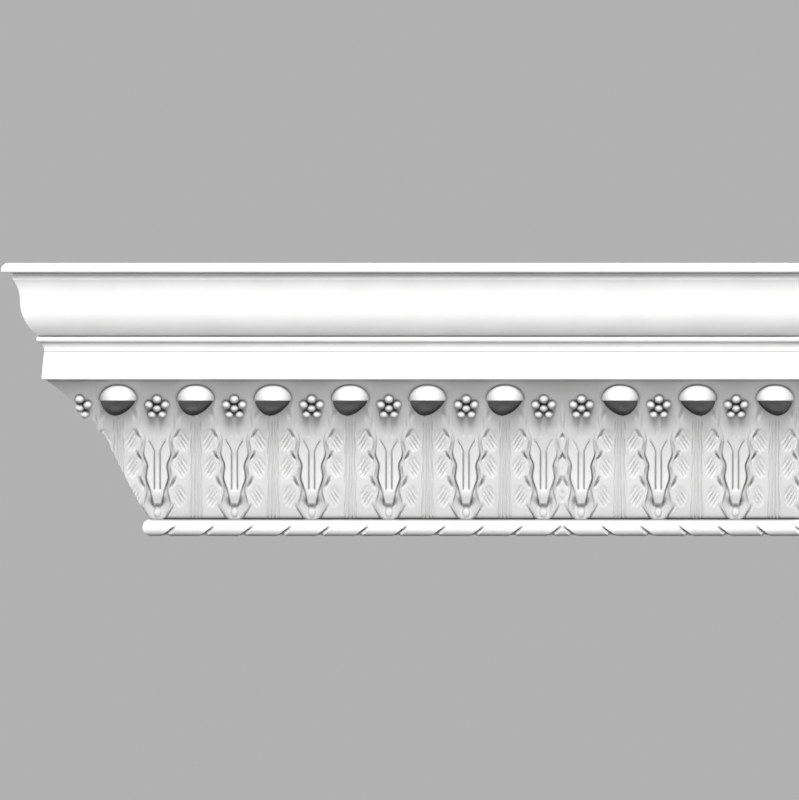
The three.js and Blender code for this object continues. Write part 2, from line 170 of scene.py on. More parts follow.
# How one form runs into the next on the way up: gaps and lengths as shares of the cove's height.
BLEND = 0.02
FORK_CLOSE = 0.015  # what the fork's grooves take to close above its top
FAINT_GAP = 0.03  # from the fork's top to the faint grooves
FAINT_START = 0.01
FAINT_STOP = 0.06  # below the hood's tip, where the faint grooves start to fade
FAINT_FADE = 0.05
STEM_STOP = 0.04  # below the fork's foot, where the sunk stem starts to level out
STEM_FADE = 0.06
TIP_END = 0.026  # what the dart's tip takes to rise out of the ground
TIP_RISE = 0.07  # what it takes to reach its full height
EDGE_GAP = 0.01
EDGE_RISE = 0.06  # what the ground beside the dart takes to rise with it
STROKE_RISE = 0.05
FINE_FADE = 0.06  # what the midrib lines take to end above the carving
TUCK_TOP = 0.24  # how high the leaf's foot draws in

# Powers that set how full a swell is, and shares that one part takes of another.
BELLY_PLACE_POWER = 0.62
BELLY_POWER = 0.9
TUCK_POWER = 1.6
STROKE_POWER = 0.8
DART_POWER = 1.1
FORK_POWER = 1.5
VEIL_POWER = 0.5
HOOD_POWER = 0.75
HOLLOW_TAPER = 1.5
HOLLOW_ROUND = 1.7
HOLLOW_FADE = 3
FOOT_STROKE = 0.5
GROUND_TUCK = 0.3
TIP_SHARE = 0.8
EDGE_SHARE = 0.6
RIM_SHARE = 0.6
RIM_PLACE = 0.55
TIP_GROOVE = 0.45
GROOVE_CLEAR = 1.5

# Midrib lines: their distance apart at the leaf's foot and head, how many stand full, and how they fade.
VEIN_GAP_FOOT = 0.095
VEIN_GAP_HEAD = 0.078
VEIN_REACH = 1.6
VEIN_FADE = 0.7

# Hatched patches on the leaf's lobes: (height share, place across) of each centre, and their half sizes.
HATCHES = [(0.565, 0.33), (0.375, 0.36), (0.165, 0.41)]
HATCH_HALF = 0.16
HATCH_HALF_HEIGHT = 0.08

# Where the leaf's wavy lines stand furthest out and in: (height share, place across) from the foot up.
OUTLINE_TURNS = [(0.0, 0.78), (0.103, 0.70), (0.203, 0.76), (0.303, 0.672), (0.382, 0.706), (0.468, 0.607),
                 (0.562, 0.652), (0.641, 0.59), (0.76, 0.60), (0.86, 0.55)]
FOLD_TURNS = [(0.0, 0.765), (0.11, 0.556), (0.222, 0.65), (0.311, 0.523), (0.423, 0.585), (0.49, 0.46),
              (0.578, 0.538), (0.65, 0.40), (0.725, 0.43), (0.795, 0.32)]

# The stretch between two ridge lines that is the dart's side rises steeply at its foot; the rest ease.
DART_SIDE = 6
DART_SIDE_POWER = 1.3
ON_LINE = 1e-9

# Mesh density.
LINE_STEPS = [8, 12, 3, 4, 4, 2, 3, 4, 2, 2, 2]
MIRROR_STEPS = 32
CARVED_ROWS = 88
PLAIN_ROWS = 10
ROPE_ROWS = 25
HOOD_FRONT_SIDES = 26
HOOD_BACK_SIDES = 6
HOOD_RISES = [0.97, 0.92, 0.85, 0.77, 0.68, 0.58, 0.48, 0.38, 0.28, 0.18, 0.09, 0.03, 0]
HOLLOW_FALLS = [0.03, 0.12, 0.22, 0.35, 0.5, 0.65, 0.8, 0.92]
BERRY_SIDES = 14
BERRY_BANDS = 9
SHEET_DEPTH = 5 * MM
SHEET_BELOW = 1.3 * MM
SHEET_ABOVE = 1.2 * MM
CORE_COVER = 3 * MM
SKIN = 1 * MM
CUT_MARGIN = 20 * MM

# Leaves on each side of the mirror plane, the ones that an end cuts through among them.
LEFT_LEAVES = math.ceil((HEEL_RUN + PROJECTION - MIRROR_TO_DART) / PITCH)
RIGHT_LEAVES = math.ceil((SQUARE_X - MIRROR_TO_DART) / PITCH)

# Heights of the members' joints, and their distances from the wall.
cove_foot_z = FOOT_Z + 2 * ROPE_RADIUS
cove_top_z = cove_foot_z + COVE_HEIGHT
fascia_top_z = cove_top_z + FASCIA_HEIGHT
conge_top_z = fascia_top_z + GROOVE_WIDTH + CONGE_HEIGHT
bead_top_z = conge_top_z + 2 * BEAD_RADIUS
cyma_mid_z = bead_top_z + OVOLO_HEIGHT
quirk_foot_z = cyma_mid_z + CAVETTO_HEIGHT
fillet_foot_z = quirk_foot_z + QUIRK_HEIGHT

quirk_p = PROJECTION - QUIRK_DEPTH
cyma_mid_p = quirk_p - CAVETTO_DEPTH
bead_p = cyma_mid_p - OVOLO_DEPTH
fascia_top_p = bead_p - CONGE_DEPTH
fascia_foot_p = fascia_top_p + FASCIA_LEAN
cove_top_p = fascia_foot_p - SOFFIT_DEPTH
ceiling_back_p = PROJECTION - NOSE_BEVEL - CEILING_STRIP


def mix(a, b, t):
    return a + (b - a) * t


def ease(t):
    t = np.clip(t, 0, 1)
    return t * t * (3 - 2 * t)


def arc(start, end, sag, steps):
    """Points on an arc; a positive sag bows it to the left of the way."""
    chord = math.dist(start, end)
    along = ((end[0] - start[0]) / chord, (end[1] - start[1]) / chord)
    radius = (chord * chord / 4 + sag * sag) / (2 * sag)
    half = math.asin(chord / 2 / radius)
    points = []
    for k in range(steps + 1):
        angle = mix(-half, half, k / steps)
        run = chord / 2 + radius * math.sin(angle)
        bow = radius * math.cos(angle) - (radius - sag)
        first = start[0] + along[0] * run - along[1] * bow
        second = start[1] + along[1] * run + along[0] * bow
        points.append((first, second))
    return points


def quarter_sag(height, depth):
    radius = (height * height + depth * depth) / (2 * depth)
    return radius - math.sqrt(radius * radius - (height * height + depth * depth) / 4)


cove_chord = math.hypot(COVE_HEIGHT, cove_top_p - COVE_FOOT)
cove_radius = (cove_chord ** 2 / 4 + COVE_SAG ** 2) / (2 * COVE_SAG)
cove_out = (cove_radius - COVE_SAG) / cove_chord
cove_centre_p = (COVE_FOOT + cove_top_p) / 2 + cove_out * COVE_HEIGHT
cove_centre_z = (cove_foot_z + cove_top_z) / 2 - cove_out * (cove_top_p - COVE_FOOT)


def cove_p(z):
    """Distance of the bare cove from the wall at a height."""
    return cove_centre_p - np.sqrt(cove_radius ** 2 - (z - cove_centre_z) ** 2)


def section_outline():
    """The plain section as (distance from the wall, height) points, set back behind the carving."""
    cavetto_sag = quarter_sag(CAVETTO_HEIGHT, CAVETTO_DEPTH)
    ovolo_sag = quarter_sag(OVOLO_HEIGHT, OVOLO_DEPTH)
    arris_lean = FASCIA_LEAN * ARRIS_ROUND / FASCIA_HEIGHT
    arris_head = (fascia_foot_p - arris_lean, cove_top_z + ARRIS_ROUND)
    core_heights = np.linspace(cove_foot_z, cove_top_z, CORE_POINTS)
    nose_side = (PROJECTION, fillet_foot_z + NOSE_ROUND * NOSE_SIDE)
    nose_foot = (PROJECTION, fillet_foot_z + NOSE_ROUND)
    return [
        (0, FOOT_Z + FOOT_LIFT),
        (ROPE_STANDOUT - FOOT_LIFT, FOOT_Z + FOOT_LIFT),
        (ROPE_STANDOUT - FOOT_LIFT, FOOT_Z + ROPE_RADIUS),
        *[(float(cove_p(z)) - CORE_COVER, z) for z in core_heights],
        *arc((fascia_foot_p - ARRIS_ROUND, cove_top_z), arris_head, -ARRIS_ROUND * CORNER_SAG, CORNER_STEPS),
        (fascia_top_p, fascia_top_z),
        (fascia_top_p - GROOVE_WIDTH / 2, fascia_top_z + GROOVE_WIDTH / 2),
        *arc((fascia_top_p, fascia_top_z + GROOVE_WIDTH), (bead_p, conge_top_z), CONGE_DEPTH * CONGE_SAG,
             CONGE_STEPS),
        *arc((bead_p, conge_top_z), (bead_p, bead_top_z), -BEAD_RADIUS * BEAD_SAG, BEAD_STEPS)[1:],
        *arc((bead_p, bead_top_z), (cyma_mid_p, cyma_mid_z), -ovolo_sag, OVOLO_STEPS)[1:],
        *arc((cyma_mid_p, cyma_mid_z), (quirk_p, quirk_foot_z), cavetto_sag, CAVETTO_STEPS)[1:],
        (quirk_p, fillet_foot_z),
        *arc((PROJECTION - NOSE_ROUND, fillet_foot_z), nose_foot, -NOSE_ROUND * CORNER_SAG, CORNER_STEPS),
        *arc(nose_side, (PROJECTION - NOSE_BEVEL, TOP_Z), -NOSE_SAG, NOSE_STEPS),
        (ceiling_back_p, TOP_Z),
        (0, FOOT_Z + WALL_STRIP),
    ]


def make_object(name, points, faces):
    mesh = bpy.data.meshes.new(name)
    mesh.from_pydata([tuple(point) for point in points], [], faces)
    mesh.validate()
    item = bpy.data.objects.new(name, mesh)
    bpy.context.scene.collection.objects.link(item)
    return item


def combine(base, tool, operation):
    modifier = base.modifiers.new("combine", "BOOLEAN")
    modifier.operation = operation
    modifier.solver = "MANIFOLD"
    modifier.object = tool
    depsgraph = bpy.context.evaluated_depsgraph_get()
    mesh = bpy.data.meshes.new_from_object(base.evaluated_get(depsgraph))
    base.modifiers.clear()
    base.data = mesh
    bpy.data.objects.remove(tool)


def prism(name, outline, start, end):
    """A closed solid between two copies of an outline, counter-clockwise as seen from outside its start."""
    count = len(outline)
    points = [start(*point) for point in outline] + [end(*point) for point in outline]
    faces = [tuple(range(count)), tuple(range(2 * count - 1, count - 1, -1))]
    for k in range(count):
        after = (k + 1) % count
        faces.append((k, count + k, count + after, after))
    return make_object(name, points, faces)


def plain_section():
    return prism("section", section_outline(),
                 lambda p, z: (-HEEL_RUN - PROJECTION - CUT_MARGIN, -p, z),
                 lambda p, z: (SQUARE_X + CUT_MARGIN, -p, z))


def kept_length():
    """What is kept between the mitre plane and the square end."""
    front = PROJECTION + CUT_MARGIN
    plan = [(-HEEL_RUN + CUT_MARGIN, CUT_MARGIN), (-HEEL_RUN - front, -front),
            (SQUARE_X, -front), (SQUARE_X, CUT_MARGIN)]
    return prism("kept", plan,
                 lambda x, y: (x, y, TOP_Z + CUT_MARGIN),
                 lambda x, y: (x, y, FOOT_Z - CUT_MARGIN))


def wavy(turns, share):
    """A smooth line through its turning points."""
    shares, places = np.array(turns).T
    n = np.clip(np.searchsorted(shares, share) - 1, 0, len(shares) - 2)
    return mix(places[n], places[n + 1], ease((share - shares[n]) / (shares[n + 1] - shares[n])))


def outward_part(turns, share):
    """1 in the middle of each stretch where a line swings out on its way down, 0 at its turns."""
    shares, places = np.array(turns).T
    n = np.clip(np.searchsorted(shares, share) - 1, 0, len(shares) - 2)
    part = np.clip((share - shares[n]) / (shares[n + 1] - shares[n]), 0, 1)
    return np.where(places[n] > places[n + 1], np.sin(np.pi * part), 0)


def inward_part(turns, share):
    return outward_part([(at, -place) for at, place in turns], share)


def above_shoulder(share):
    """0 in the dart's pointed tip, 1 above its shoulder."""
    return ease((share - DART_SHOULDER + BLEND / 2) / BLEND)


def line_places(share):
    """Places across of the ridges and valleys of half a leaf and half a dart, one row per line."""
    outline = wavy(OUTLINE_TURNS, share)
    fold = wavy(FOLD_TURNS, share)
    rib = mix(RIB_FOOT, RIB_HEAD, np.clip(share / HOOD_TIP, 0, 1))
    spread = np.clip((share - FORK_FOOT) / (FORK_TOP - FORK_FOOT), 0, 1)
    above = ease((share - FORK_TOP - FORK_CLOSE) / BLEND)
    fork = mix(mix(FORK_STEM, FORK_SPREAD, spread ** FORK_POWER), FORK_STEM, above)
    lobed = ease((share - DART_SHOULDER) / BLEND)
    taper = mix(TIP_HALF, SHOULDER_HALF, np.clip((share - DART_TIP) / (DART_SHOULDER - DART_TIP), 0, 1))
    dart_edge = mix(1 - taper, outline + LOBE_EDGE, lobed)
    ground_edge = mix(dart_edge - TIP_FLANK, outline + LOBE_EDGE / 2, lobed)
    groove = 1 - mix(TIP_GROOVE * taper, fork, above_shoulder(share))
    groove = np.maximum(groove, dart_edge + GROOVE_CLEAR * GROOVE_HALF)
    return np.stack([
        0 * share,
        rib,
        fold - FOLD_HALF,
        fold,
        mix(fold, outline, RIM_PLACE),
        outline,
        ground_edge,
        dart_edge,
        groove - GROOVE_HALF,
        groove,
        groove + GROOVE_HALF,
        1 + 0 * share,
    ])


def leaf_heights(share, tuck):
    """Relief of the lines from the leaf's axis to its outline."""
    shown = 1 - ease((share - HOOD_TIP) / (HOOD_EDGE - HOOD_TIP))
    rounded = np.sin(np.pi * np.clip(share / HOOD_TIP, 0, 1) ** BELLY_PLACE_POWER)
    belly = LEAF_SWELL * rounded ** BELLY_POWER + tuck
    deepened = mix(FOOT_STROKE, 1, ease((share - FOLD_TURNS[1][0]) / STROKE_RISE))
    stroke = outward_part(FOLD_TURNS, share) ** STROKE_POWER * deepened
    swing = inward_part(OUTLINE_TURNS, share)
    return [
        (belly + RIB_RISE) * shown,
        belly * shown,
        belly * shown,
        (belly - FOLD_CUT * stroke) * shown,
        (belly + RIM_RISE) * shown,
        (belly - RIM_FALL * (RIM_SHARE + swing)) * shown,
    ]


def dart_heights(share, tuck):
    """Relief of the lines from the ground beside the dart to the dart's axis."""
    ground = DART_GROUND + GROUND_TUCK * tuck
    dart = DART_SWELL * np.clip((DART_HEAD - share) / (DART_HEAD - DART_SHOULDER), 0, 1) ** DART_POWER
    tip_end = ease((share - DART_TIP + BLEND) / TIP_END)
    above = above_shoulder(share)
    lobe = mix(ground, dart * mix(TIP_SHARE, 1, ease((share - DART_TIP) / TIP_RISE)), tip_end)
    sunk = STEM_SINK * (1 - ease((share - FORK_FOOT + STEM_STOP) / STEM_FADE)) * above
    forked = 1 - ease((share - FORK_TOP) / FORK_CLOSE)
    fading = 1 - ease((share - HOOD_TIP + FAINT_STOP) / FAINT_FADE)
    faint = ease((share - FORK_TOP - FAINT_GAP) / FAINT_START) * fading
    cut = GROOVE_CUT * (forked + GROOVE_FAINT * faint) * above
    return [
        mix(ground, dart, EDGE_SHARE * ease((share - DART_TIP - EDGE_GAP) / EDGE_RISE)),
        lobe,
        lobe,
        lobe - cut - sunk,
        lobe - sunk,
        lobe - sunk,
    ]


def line_heights(share):
    """Relief of the lines that line_places gives, in the same order."""
    tuck = -FOOT_TUCK * np.clip(1 - share / TUCK_TOP, 0, 1) ** TUCK_POWER
    return np.stack(leaf_heights(share, tuck) + dart_heights(share, tuck))


def relief_at(across, share):
    """Relief for places across, one column per height share."""
    places = line_places(share)
    heights = line_heights(share)
    rise = np.zeros_like(across)
    for n in range(len(places) - 1):
        part = np.clip((across - places[n]) / (places[n + 1] - places[n]), 0, 1)
        climb = 1 - (1 - part) ** DART_SIDE_POWER if n == DART_SIDE else ease(part)
        inside = (across >= places[n]) & (across <= places[n + 1] + ON_LINE)
        rise = np.where(inside, mix(heights[n], heights[n + 1], climb), rise)
    return rise + fine_relief(across, share)


def fine_relief(across, share):
    """Midrib lines, hatched veins on the lobes and the buds under the dart."""
    shown = 1 - ease((share - CARVED_TOP) / FINE_FADE)
    gap = mix(VEIN_GAP_FOOT, VEIN_GAP_HEAD, np.clip(share / HOOD_TIP, 0, 1))
    beside = 1 - ease((across - VEIN_REACH * gap) / (VEIN_FADE * gap))
    rise = VEIN_CUT * (np.cos(2 * np.pi * across / gap) * beside) * shown
    for centre, place in HATCHES:
        away = ((across - place) / HATCH_HALF) ** 2 + ((share - centre) / HATCH_HALF_HEIGHT) ** 2
        veil = np.clip(1 - away, 0, 1) ** VEIL_POWER
        along = across * HALF_PITCH * math.sin(HATCH_SLANT) - share * COVE_HEIGHT * math.cos(HATCH_SLANT)
        rise = rise - HATCH_CUT * veil * (0.5 + 0.5 * np.cos(2 * np.pi * along / HATCH_GAP))
    gone = ((1 - across) / BUD_HALF) ** 2 + ((share - BUD_CENTRE) / BUD_HALF_HEIGHT) ** 2
    return rise + BUD_RISE * np.sqrt(np.clip(1 - gone, 0, 1))


def half_leaf(share):
    """Places and reliefs of the columns from a leaf's axis to a dart's axis."""
    places = line_places(share)
    columns = []
    for n, steps in enumerate(LINE_STEPS):
        for k in range(steps):
            columns.append(mix(places[n], places[n + 1], k / steps))
    columns.append(places[-1])
    across = np.stack(columns)
    return across, relief_at(across, share)


def sheet_columns(share, leaves):
    """Distances from the mirror plane and reliefs, outwards from the mirror plane."""
    near = np.linspace(MIRROR_ACROSS, 1, MIRROR_STEPS + 1)[:, None] + 0 * share
    distance = [(near - MIRROR_ACROSS) * HALF_PITCH]
    rise = [relief_at(near, share)]
    across, height = half_leaf(share)
    for k in range(leaves):
        start = MIRROR_TO_DART + PITCH * k
        distance.append(start + (1 - across[::-1][1:]) * HALF_PITCH)
        rise.append(height[::-1][1:])
        distance.append(start + HALF_PITCH + across[1:] * HALF_PITCH)
        rise.append(height[1:])
    return np.concatenate(distance), np.concatenate(rise)


def lattice_faces(columns, rows, first=0):
    at = first + np.arange(columns * rows).reshape(columns, rows)
    quads = np.stack([at[:-1, :-1], at[1:, :-1], at[1:, 1:], at[:-1, 1:]], axis=-1)
    return quads.reshape(-1, 4).tolist(), at


def closed_sheet(name, x, p, z, back_p):
    """A closed solid from a front lattice of columns and rows and a coarse back."""
    columns, rows = x.shape
    faces, at = lattice_faces(columns, rows)
    points = np.stack([x, -p, z], axis=-1).reshape(-1, 3).tolist()
    left = []
    right = []
    for j in range(rows):
        left.append(len(points))
        points.append((x[0, j], -back_p[j], z[0, j]))
        right.append(len(points))
        points.append((x[-1, j], -back_p[j], z[-1, j]))
    for j in range(rows - 1):
        faces.append((left[j], left[j + 1], right[j + 1], right[j]))
        faces.append((at[0, j], at[0, j + 1], left[j + 1], left[j]))
        faces.append((at[-1, j], right[j], right[j + 1], at[-1, j + 1]))
    faces.append((left[0], right[0], *at[::-1, 0].tolist()))
    faces.append((right[-1], left[-1], *at[:, -1].tolist()))
    return make_object(name, points, faces)


def carved_sheet():
    carved = np.linspace(-SHEET_BELOW / COVE_HEIGHT, CARVED_TOP, CARVED_ROWS)
    plain = np.linspace(CARVED_TOP, 1 + SHEET_ABOVE / COVE_HEIGHT, PLAIN_ROWS + 1)[1:]
    share = np.concatenate([carved, plain])
    z = cove_foot_z + share * COVE_HEIGHT
    left_x, left_rise = sheet_columns(share, LEFT_LEAVES)
    right_x, right_rise = sheet_columns(share, RIGHT_LEAVES)
    x = np.concatenate([-left_x[::-1], right_x[1:]])
    rise = np.concatenate([left_rise[::-1], right_rise[1:]])
    p = cove_p(z) + rise
    back = np.maximum(SKIN, cove_p(z) - SHEET_DEPTH)
    return closed_sheet("carving", x, p, z + 0 * x, back)


def loft(rings, first, last):
    """Points and faces of a stack of equal rings closed by a pole at each end, from the top down."""
    sides = len(rings[0])
    points = [first] + [point for ring in rings for point in ring] + [last]
    faces = []
    for k in range(sides):
        after = (k + 1) % sides
        faces.append((0, 1 + after, 1 + k))
        for r in range(len(rings) - 1):
            a = 1 + r * sides
            b = a + sides
            faces.append((a + k, a + after, b + after, b + k))
        base = 1 + (len(rings) - 1) * sides
        faces.append((len(points) - 1, base + k, base + after))
    return points, faces


def hood(x):
    """The curled leaf tip: a dome that ends in a level edge."""
    angles = [math.pi * k / HOOD_FRONT_SIDES for k in range(HOOD_FRONT_SIDES)]
    angles += [math.pi + math.pi * k / HOOD_BACK_SIDES for k in range(HOOD_BACK_SIDES)]
    rings = []
    for rise in HOOD_RISES:
        half = (1 - rise ** 2) ** 0.5 * HOOD_HALF * HALF_PITCH
        depth = (1 - rise) ** HOOD_POWER * HOOD_DEPTH
        ring = []
        for angle in angles:
            out = (depth if math.sin(angle) > 0 else HOOD_ROOT) * math.sin(angle)
            ring.append(on_cove(mix(HOOD_EDGE, HOOD_TOP, rise), x + half * math.cos(angle), out))
        rings.append(ring)
    crown = on_cove(HOOD_TOP, x, -HOOD_CROWN_SINK)
    return loft(rings, crown, on_cove(HOOD_EDGE - HOOD_EDGE_DROP, x, HOOD_DEPTH / 3))


def hollow(x, side):
    """What is taken out below a hood's edge: a pocket whose foot leans away from the mirror plane."""
    angles = [2 * math.pi * k / HOOD_FRONT_SIDES for k in range(HOOD_FRONT_SIDES)]
    rings = []
    for fall in HOLLOW_FALLS:
        half = (1 - fall ** HOLLOW_TAPER) ** (1 / HOLLOW_ROUND) * HOLLOW_HALF * HALF_PITCH
        lean = side * fall * HOOD_SKEW * HALF_PITCH
        depth = HOLLOW_DEPTH * (1 - fall ** HOLLOW_FADE)
        ring = []
        for angle in angles:
            out = (2 * HOOD_DEPTH if math.sin(angle) > 0 else depth) * math.sin(angle)
            ring.append(on_cove(mix(HOOD_EDGE, HOOD_TIP, fall), x + half * math.cos(angle) + lean, out))
        rings.append(ring)
    foot = on_cove(HOOD_TIP, x + side * HOOD_SKEW * HALF_PITCH, 0)
    return loft(rings, on_cove(mix(HOOD_EDGE, HOOD_TIP, HOLLOW_FALLS[0] / 2), x, 0), foot)


def on_cove(share, x, out):
    z = cove_foot_z + share * COVE_HEIGHT
    return (x, -(float(cove_p(z)) + out), z)


def berry(x, share):
    """A berry that stands out further than it is wide."""
    z = cove_foot_z + share * COVE_HEIGHT
    p = float(cove_p(z)) + BERRY_LIFT
    rings = []
    for k in range(1, BERRY_BANDS):
        lift = BERRY_RADIUS * math.cos(math.pi * k / BERRY_BANDS)
        wide = BERRY_RADIUS * math.sin(math.pi * k / BERRY_BANDS)
        ring = []
        for n in range(BERRY_SIDES):
            turn = 2 * math.pi * n / BERRY_SIDES
            out = BERRY_DEPTH * wide * math.sin(turn)
            ring.append((x + wide * math.cos(turn), -(p + out), z + lift))
        rings.append(ring)
    return loft(rings, (x, -p, z + BERRY_RADIUS), (x, -p, z - BERRY_RADIUS))


def gather(name, parts):
    """One object from several lofts that don't touch each other."""
    points = []
    faces = []
    for own_points, own_faces in parts:
        base = len(points)
        points += own_points
        faces += [tuple(base + k for k in face) for face in own_faces]
    return make_object(name, points, faces)


def reach(side, share):
    """How far from the mirror plane the cove's face runs before an end cuts it."""
    if side > 0:
        return SQUARE_X
    return HEEL_RUN + float(cove_p(cove_foot_z + share * COVE_HEIGHT))


def at_leaves(name, shape):
    """The same shape at every leaf that an end doesn't cut off; side is -1 left of the mirror plane."""
    parts = []
    for side, leaves in ((-1, LEFT_LEAVES), (1, RIGHT_LEAVES)):
        for k in range(leaves):
            axis = MIRROR_TO_DART + HALF_PITCH + PITCH * k
            if axis - HOOD_HALF * HALF_PITCH < reach(side, HOOD_EDGE):
                parts.append(shape(side * axis, side))
    return gather(name, parts)


def berries(across, share):
    """The berry at one place of every cluster."""
    berry_foot = math.sqrt(BERRY_RADIUS ** 2 - BERRY_LIFT ** 2)
    parts = []
    for side, leaves in ((-1, LEFT_LEAVES), (1, RIGHT_LEAVES)):
        for k in range(leaves + 1):
            out = MIRROR_TO_DART + PITCH * k + across * HALF_PITCH
            if out - berry_foot < reach(side, share):
                parts.append(berry(side * out, share))
    return gather("berries", parts)


def strand_columns():
    """(side, centre, place in the cut, depth) of the rope's columns, from the left end to the right."""
    columns = []
    for side, run in ((-1, HEEL_RUN + PROJECTION), (1, SQUARE_X)):
        own = []
        for k in range(math.ceil(run / HALF_PITCH)):
            centre = MIRROR_TO_CUT + HALF_PITCH * k
            own += [(side, centre, edge, depth) for edge, depth in STRAND_CUT_SECTION]
            own += [(side, centre + gap * HALF_PITCH, 0, 0) for gap in STRAND_COLUMNS]
        columns += own[::-1] if side < 0 else own
    return columns


def closed_shell(name, front, back):
    """A closed solid between two lattices of columns and rows."""
    columns, rows, _ = front.shape
    faces, at = lattice_faces(columns, rows)
    back_faces, back_at = lattice_faces(columns, rows, columns * rows)
    faces += [face[::-1] for face in back_faces]
    for i in range(columns - 1):
        faces.append((at[i, 0], back_at[i, 0], back_at[i + 1, 0], at[i + 1, 0]))
        faces.append((at[i, -1], at[i + 1, -1], back_at[i + 1, -1], back_at[i, -1]))
    for j in range(rows - 1):
        faces.append((at[0, j], at[0, j + 1], back_at[0, j + 1], back_at[0, j]))
        faces.append((at[-1, j], back_at[-1, j], back_at[-1, j + 1], at[-1, j + 1]))
    points = front.reshape(-1, 3).tolist() + back.reshape(-1, 3).tolist()
    return make_object(name, points, faces)


def rope_bead():
    """The twisted rope, with slanting cuts that lean to the mirror plane as they rise and fade out."""
    angles = np.radians(np.linspace(-90, 90, ROPE_ROWS))
    climb = np.clip((angles - STRAND_CUT_FOOT) / (STRAND_CUT_HEAD - STRAND_CUT_FOOT), 0, 1)
    lean = STRAND_SLANT * (0.5 - np.clip(climb * STRAND_LEAN_RATE, 0, 1))
    width = STRAND_CUT_WIDTH * mix(1, STRAND_CUT_NARROW, climb)
    fade = 1 - climb ** STRAND_CUT_FADE
    columns = strand_columns()
    x = np.stack([side * (centre + edge * width + lean) for side, centre, edge, _ in columns])
    radius = np.stack([ROPE_RADIUS - STRAND_CUT * depth * fade for _, _, _, depth in columns])
    p = ROPE_STANDOUT + radius * np.cos(angles)
    z = FOOT_Z + ROPE_RADIUS + radius * np.sin(angles)
    back_z = FOOT_Z + ROPE_RADIUS + ROPE_BACK * ROPE_RADIUS * np.sin(angles)
    front = np.stack([x, -p, z], axis=-1)
    back = np.stack([x, 0 * x - SKIN, back_z + 0 * x], axis=-1)
    return closed_shell("rope", front, back)


# Finish: how far the painted crevice shade looks around for what closes a crevice in, and where smooth
# shading breaks.
SHADE_REACH = 14 * MM
SHADE_SAMPLES = 8
SHADE_RANGE = (0.2, 0.8)
SHADE_DARKEST = 0.04
SHARP_ANGLE = math.radians(38)
CUT_NEAR = 0.05 * MM

# Scales of the procedural detail, per metre, and how deep its bumps are.
MOTTLE_SCALE = 38
SHEEN_SCALE = 120
PEEL_SCALE = 2200
PORE_SCALE = 1600
BUMP_DEPTH = 0.0002


def grey(value):
    return (value, value, value, 1)


def new_material(name, specular):
    """A material, its node tree, its shader and the object coordinates that its detail uses."""
    material = bpy.data.materials.new(name)
    material.use_nodes = True
    tree = material.node_tree
    shader = tree.nodes["Principled BSDF"]
    shader.inputs["Specular IOR Level"].default_value = specular
    place = tree.nodes.new("ShaderNodeTexCoord")
    return material, tree, shader, place.outputs["Object"]


def noise(tree, place, scale, detail, roughness=0.5):
    node = tree.nodes.new("ShaderNodeTexNoise")
    node.inputs["Scale"].default_value = scale
    node.inputs["Detail"].default_value = detail
    node.inputs["Roughness"].default_value = roughness
    tree.links.new(place, node.inputs["Vector"])
    return node.outputs["Fac"]


def ramp(tree, source, low, high, first, last):
    """A blend from the first colour at the low value to the last at the high one."""
    node = tree.nodes.new("ShaderNodeValToRGB")
    node.color_ramp.elements[0].position = low
    node.color_ramp.elements[0].color = first
    node.color_ramp.elements[1].position = high
    node.color_ramp.elements[1].color = last
    tree.links.new(source, node.inputs["Fac"])
    return node.outputs["Color"]


def bump(tree, shader, height, strength):
    node = tree.nodes.new("ShaderNodeBump")
    node.inputs["Strength"].default_value = strength
    node.inputs["Distance"].default_value = BUMP_DEPTH
    tree.links.new(height, node.inputs["Height"])
    tree.links.new(node.outputs["Normal"], shader.inputs["Normal"])


def painted_crevice_shade(tree):
    """Painted shade: the base colour gets darker where the form closes in, as an occlusion lookup finds."""
    hollows = tree.nodes.new("ShaderNodeAmbientOcclusion")
    hollows.samples = SHADE_SAMPLES
    hollows.inputs["Distance"].default_value = SHADE_REACH
    return ramp(tree, hollows.outputs["AO"], *SHADE_RANGE, grey(SHADE_DARKEST), grey(1))


def primed_finish():
    """White primer on a smooth moulded skin: a faint mottle darkened by painted shade in its hollows, a fine
    orange-peel bump, uneven sheen.
    """
    material, tree, shader, place = new_material("primed_white", 0.35)
    mottle = ramp(tree, noise(tree, place, MOTTLE_SCALE, 4), 0.35, 0.7,
                  (0.79, 0.79, 0.785, 1), (0.84, 0.84, 0.835, 1))
    shaded = tree.nodes.new("ShaderNodeMix")
    shaded.data_type = "RGBA"
    shaded.blend_type = "MULTIPLY"
    shaded.inputs["Factor"].default_value = 1
    tree.links.new(mottle, shaded.inputs["A"])
    # painted shade: the mottle is multiplied by a darkening that follows the occlusion in hollows
    tree.links.new(painted_crevice_shade(tree), shaded.inputs["B"])
    tree.links.new(shaded.outputs["Result"], shader.inputs["Base Color"])
    sheen = ramp(tree, noise(tree, place, SHEEN_SCALE, 3), 0.3, 0.7, grey(0.5), grey(0.66))
    tree.links.new(sheen, shader.inputs["Roughness"])
    bump(tree, shader, noise(tree, place, PEEL_SCALE, 3, 0.6), 0.12)
    return material


def sawn_finish():
    """Sawn rigid foam on the two cut ends: cream, finely pored, quite matt."""
    material, tree, shader, place = new_material("sawn_foam", 0.2)
    shader.inputs["Roughness"].default_value = 0.85
    cells = tree.nodes.new("ShaderNodeTexVoronoi")
    cells.inputs["Scale"].default_value = PORE_SCALE
    tree.links.new(place, cells.inputs["Vector"])
    tint = ramp(tree, cells.outputs["Distance"], 0, 1, (0.80, 0.77, 0.68, 1), (0.86, 0.84, 0.76, 1))
    tree.links.new(tint, shader.inputs["Base Color"])
    bump(tree, shader, cells.outputs["Distance"], 0.3)
    return material


def face_vectors(mesh, kind):
    values = np.empty(len(mesh.polygons) * 3)
    mesh.polygons.foreach_get(kind, values)
    return values.reshape(-1, 3)


